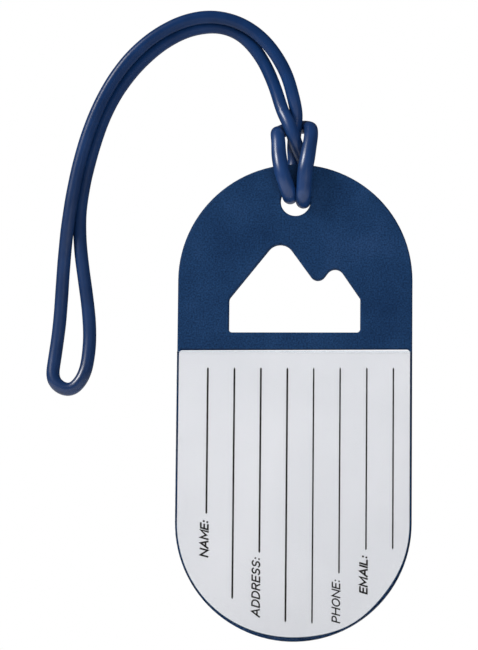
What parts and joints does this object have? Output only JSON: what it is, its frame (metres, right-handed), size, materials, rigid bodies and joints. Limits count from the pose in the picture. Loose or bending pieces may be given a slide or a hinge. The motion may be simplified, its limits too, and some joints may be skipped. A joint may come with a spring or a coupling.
{
  "type": "luggage tag",
  "caption": "Capsule-shaped soft plastic luggage tag with a clear card pocket, a slide-in address card, a peak-shaped cut-out and a round cord strap hitched through its top hole.",
  "frame": {"origin": "centre of the capsule outline on the outer face of the clear window film", "axes": "+Z along the tag towards the strap end, -Y out of the readable face, +X to the reader's right"},
  "size_m": [0.0879, 0.0155, 0.1525],
  "materials": {
    "tag_plastic": "soft moulded PVC, navy, fine matte grain",
    "clear_film": "clear flexible PVC film, glossy",
    "card_paper": "uncoated light card with printed ruled lines",
    "strap_plastic": "smooth flexible moulded cord, navy, satin gloss"
  },
  "bodies": {
    "tag": {"tag_body": "tag_plastic", "pocket_window": "clear_film"},
    "card": {"info_card": "card_paper"},
    "hitch": {"strap_hitch": "strap_plastic"},
    "strap_upper": {"strap_upper": "strap_plastic"},
    "strap_side": {"strap_side": "strap_plastic"},
    "far_loop": {"strap_far_loop": "strap_plastic"}
  },
  "joints": [
    {"name": "card_slide", "type": "slide", "parent": "tag", "child": "card", "axis": [0, 0, 1], "range_m": [0, 0.03]},
    {"name": "strap_swing", "type": "hinge", "parent": "tag", "child": "hitch", "pos_m": [0, 0.002, 0.0481], "axis": [0, 1, 0], "range_deg": [-15, 35]},
    {"name": "strap_lift", "type": "hinge", "parent": "hitch", "child": "strap_upper", "pos_m": [-0.0025, 0.0056, 0.0739], "axis": [1, 0, 0], "range_deg": [-60, 60], "stiffness_Nm_per_rad": 0.0005},
    {"name": "strap_bend_1", "type": "hinge", "parent": "strap_upper", "child": "strap_side", "pos_m": [-0.03355, 0.0063, 0.0888], "axis": [0, 1, 0], "range_deg": [-20, 20], "stiffness_Nm_per_rad": 0.0005},
    {"name": "strap_bend_2", "type": "hinge", "parent": "strap_side", "child": "far_loop", "pos_m": [-0.05288, 0.0063, 0.0525], "axis": [0, 1, 0], "range_deg": [-20, 20], "stiffness_Nm_per_rad": 0.0005}
  ],
  "couplings": [
    {"joint": "strap_bend_2", "follows": "strap_bend_1", "ratio": 1}
  ]
}
